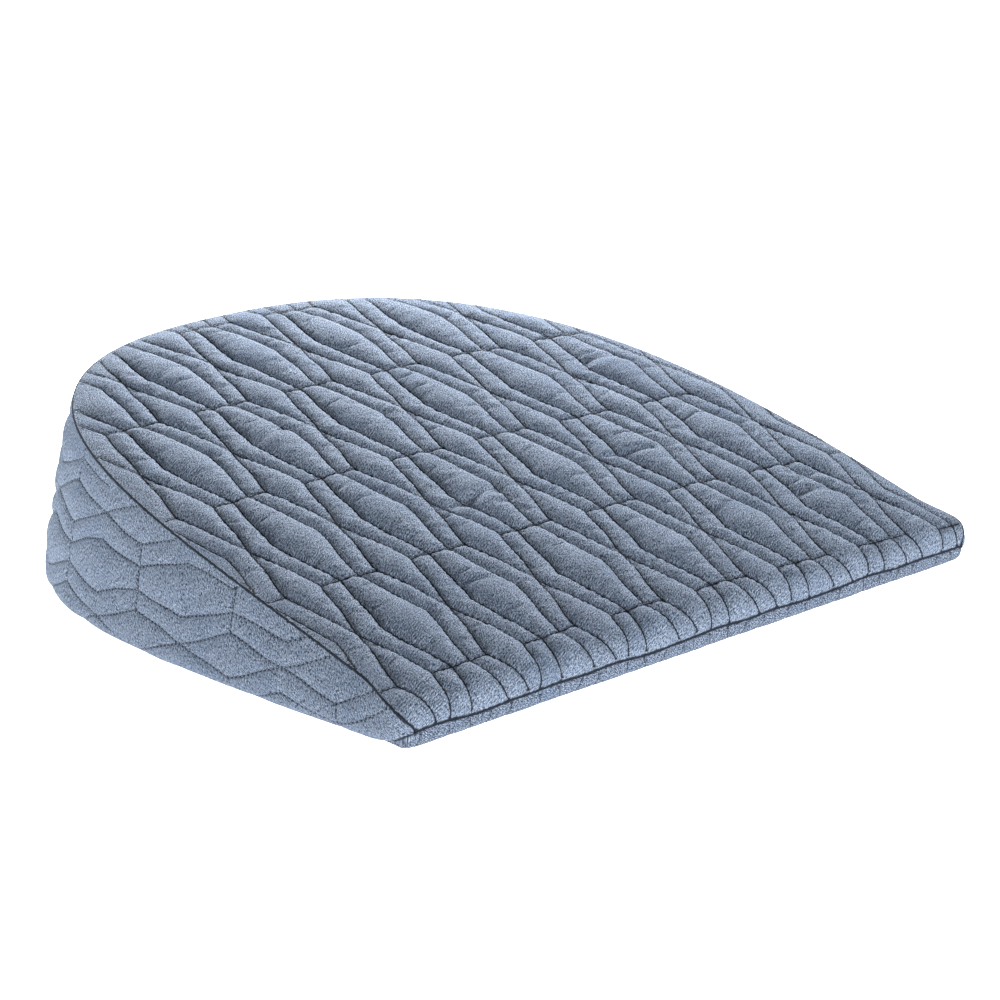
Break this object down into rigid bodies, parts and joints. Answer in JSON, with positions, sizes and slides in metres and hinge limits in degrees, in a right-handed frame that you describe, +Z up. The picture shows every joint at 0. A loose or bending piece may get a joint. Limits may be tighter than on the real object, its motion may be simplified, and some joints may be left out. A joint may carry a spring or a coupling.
{
  "type": "wedge pillow",
  "caption": "D-shaped foam wedge pillow with a straight thin front edge and a tall rounded back, in a quilted knit cover with a sewn side band.",
  "frame": {"origin": "on the floor, under the middle of the pillow's box", "axes": "+X along the straight front edge, to the right as seen from the front; +Y from the thin front edge towards the tall round back; +Z up"},
  "size_m": [0.4029, 0.3637, 0.1044],
  "materials": {
    "top_cloth": "soft quilted knit, blue-grey, finely mottled",
    "band_cloth": "soft quilted knit, blue-grey, finely mottled",
    "base_cloth": "soft quilted knit, blue-grey, finely mottled"
  },
  "bodies": {
    "root": {"foam_and_base_panel": "base_cloth", "top_panel": "top_cloth", "side_band": "band_cloth"}
  },
  "joints": []
}
